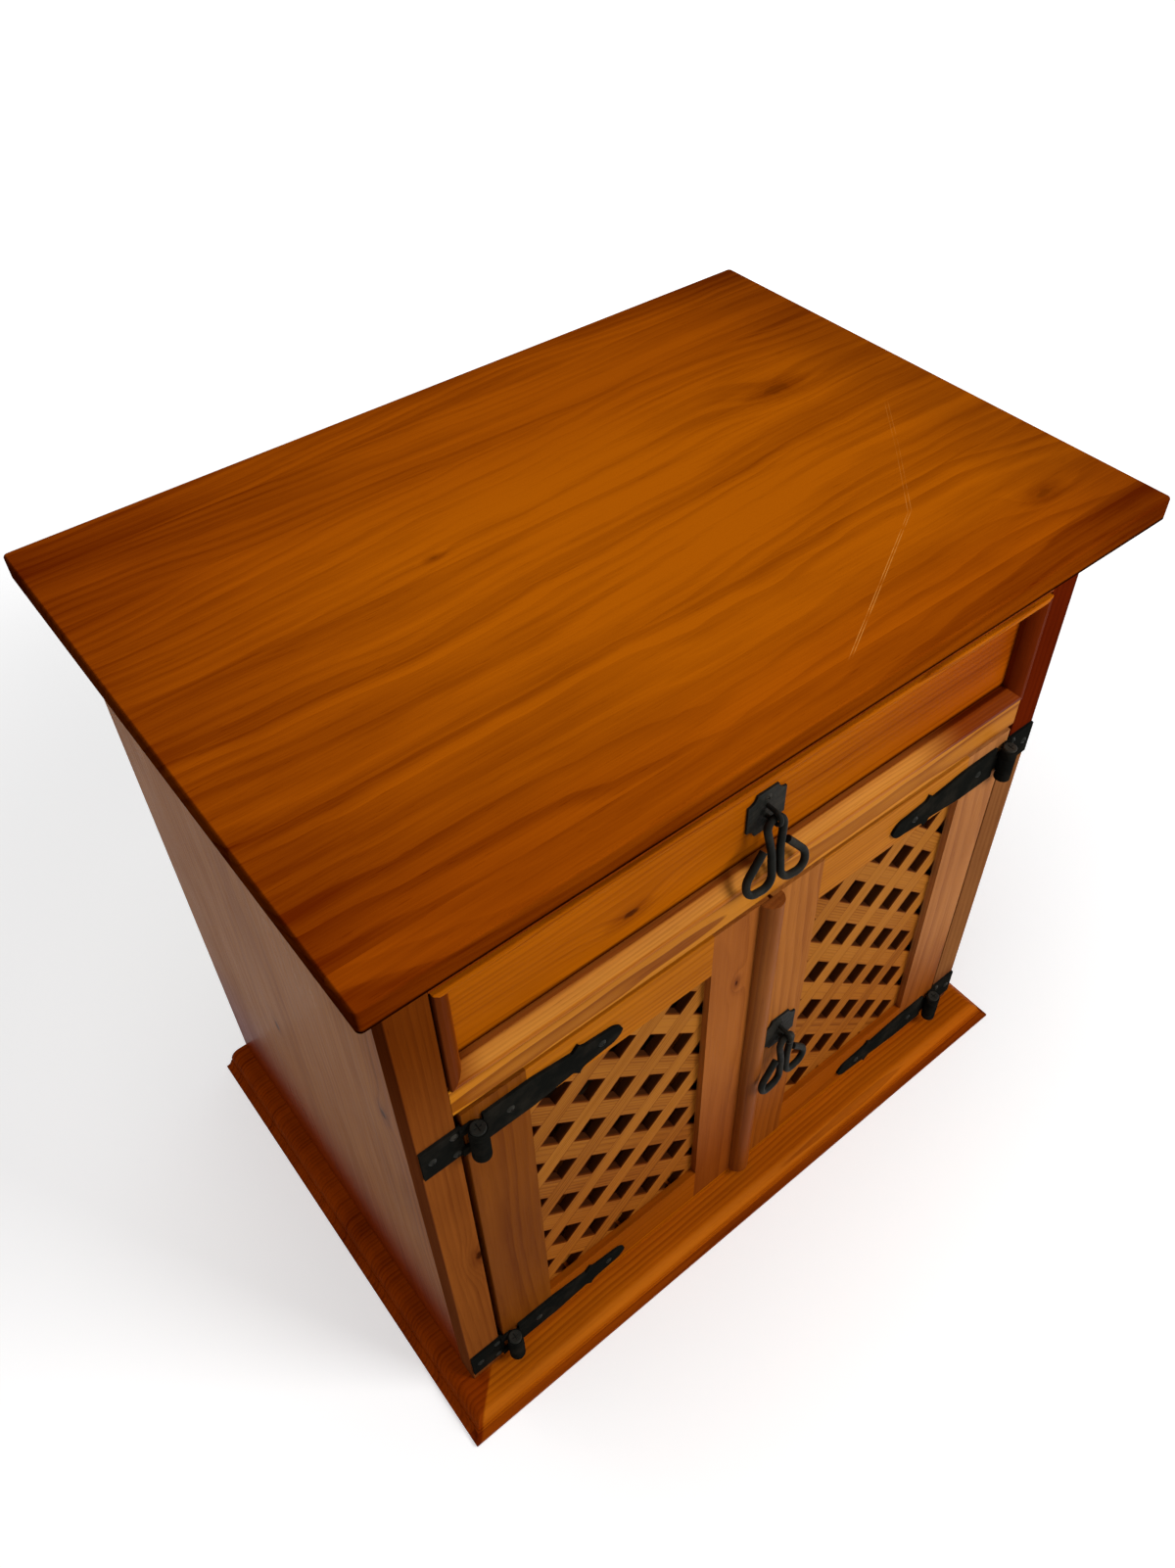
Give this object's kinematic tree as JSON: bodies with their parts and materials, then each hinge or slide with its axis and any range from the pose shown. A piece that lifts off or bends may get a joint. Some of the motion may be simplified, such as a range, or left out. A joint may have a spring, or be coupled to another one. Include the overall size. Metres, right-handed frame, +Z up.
{
  "type": "storage cabinet",
  "caption": "Low square wooden cabinet with a drawer over a pair of lattice doors, black iron strap hinges and swinging bail pulls, on a moulded base board.",
  "frame": {"origin": "on the floor under the middle of the base board", "axes": "+Z up, -Y towards the front with the drawer and doors, +X towards the right of the front"},
  "size_m": [0.7218, 0.5038, 0.7275],
  "materials": {
    "varnished_pine": "pine with a glossy amber-brown varnish",
    "lattice_pine": "pine slats with a satin amber-brown varnish",
    "plain_pine": "planed pine, unvarnished, matt",
    "black_iron": "wrought iron, dull black",
    "catch_plastic": "moulded plastic, brown",
    "catch_steel": "zinc-plated sheet"
  },
  "bodies": {
    "carcass": {"back_panel": "plain_pine", "base_board": "varnished_pine", "bottom_board": "varnished_pine", "drawer_kickers": "plain_pine", "drawer_runner_left": "plain_pine", "drawer_runner_right": "plain_pine", "front_stile_left": "varnished_pine", "front_stile_right": "varnished_pine", "hinge_leaves_left": "black_iron", "hinge_leaves_right": "black_iron", "hinge_pins": "black_iron", "leaf_screws": "black_iron", "magnet_catches": "catch_plastic", "middle_rail": "varnished_pine", "shelf": "plain_pine", "shelf_pegs": "plain_pine", "side_panel_left": "varnished_pine", "side_panel_right": "varnished_pine", "top_panel": "varnished_pine", "top_rail": "varnished_pine"},
    "drawer": {"drawer_back": "plain_pine", "drawer_bottom": "plain_pine", "drawer_moulding_bottom": "varnished_pine", "drawer_moulding_left": "varnished_pine", "drawer_moulding_right": "varnished_pine", "drawer_moulding_top": "varnished_pine", "drawer_panel": "varnished_pine", "drawer_pull_plate": "black_iron", "drawer_pull_screws": "black_iron", "drawer_pull_staple": "black_iron", "drawer_side_left": "plain_pine", "drawer_side_right": "plain_pine"},
    "drawer_pull": {"drawer_pull_bail": "black_iron"},
    "left_door": {"left_catch_plate": "catch_steel", "left_door_bottom_rail": "varnished_pine", "left_door_hinge_stile": "varnished_pine", "left_door_meeting_stile": "varnished_pine", "left_door_screws": "black_iron", "left_door_top_rail": "varnished_pine", "left_lattice_back_slats": "lattice_pine", "left_lattice_front_slats": "lattice_pine", "left_lattice_strips": "lattice_pine", "left_strap_bottom": "black_iron", "left_strap_top": "black_iron"},
    "right_door": {"door_pull_plate": "black_iron", "door_pull_staple": "black_iron", "right_catch_plate": "catch_steel", "right_door_bead": "varnished_pine", "right_door_bottom_rail": "varnished_pine", "right_door_hinge_stile": "varnished_pine", "right_door_meeting_stile": "varnished_pine", "right_door_screws": "black_iron", "right_door_top_rail": "varnished_pine", "right_lattice_back_slats": "lattice_pine", "right_lattice_front_slats": "lattice_pine", "right_lattice_strips": "lattice_pine", "right_strap_bottom": "black_iron", "right_strap_top": "black_iron"},
    "door_pull": {"door_pull_bail": "black_iron"}
  },
  "joints": [
    {"name": "drawer_slide", "type": "slide", "parent": "carcass", "child": "drawer", "axis": [0, -1, 0], "range_m": [0, 0.33]},
    {"name": "right_door_hinge", "type": "hinge", "parent": "carcass", "child": "right_door", "pos_m": [0.2882, -0.2182, 0.27], "axis": [0, 0, 1], "range_deg": [0, 110]},
    {"name": "left_door_hinge", "type": "hinge", "parent": "carcass", "child": "left_door", "pos_m": [-0.2882, -0.2182, 0.27], "axis": [0, 0, -1], "range_deg": [0, 110]},
    {"name": "drawer_pull_swing", "type": "hinge", "parent": "drawer", "child": "drawer_pull", "pos_m": [-0.0042, -0.2072, 0.5845], "axis": [-1, 0, 0], "range_deg": [0, 76]},
    {"name": "door_pull_swing", "type": "hinge", "parent": "right_door", "child": "door_pull", "pos_m": [0.0332, -0.2209, 0.2592], "axis": [-1, 0, 0], "range_deg": [0, 85]}
  ],
  "couplings": [
    {"joint": "left_door_hinge", "follows": "right_door_hinge", "ratio": 1}
  ]
}
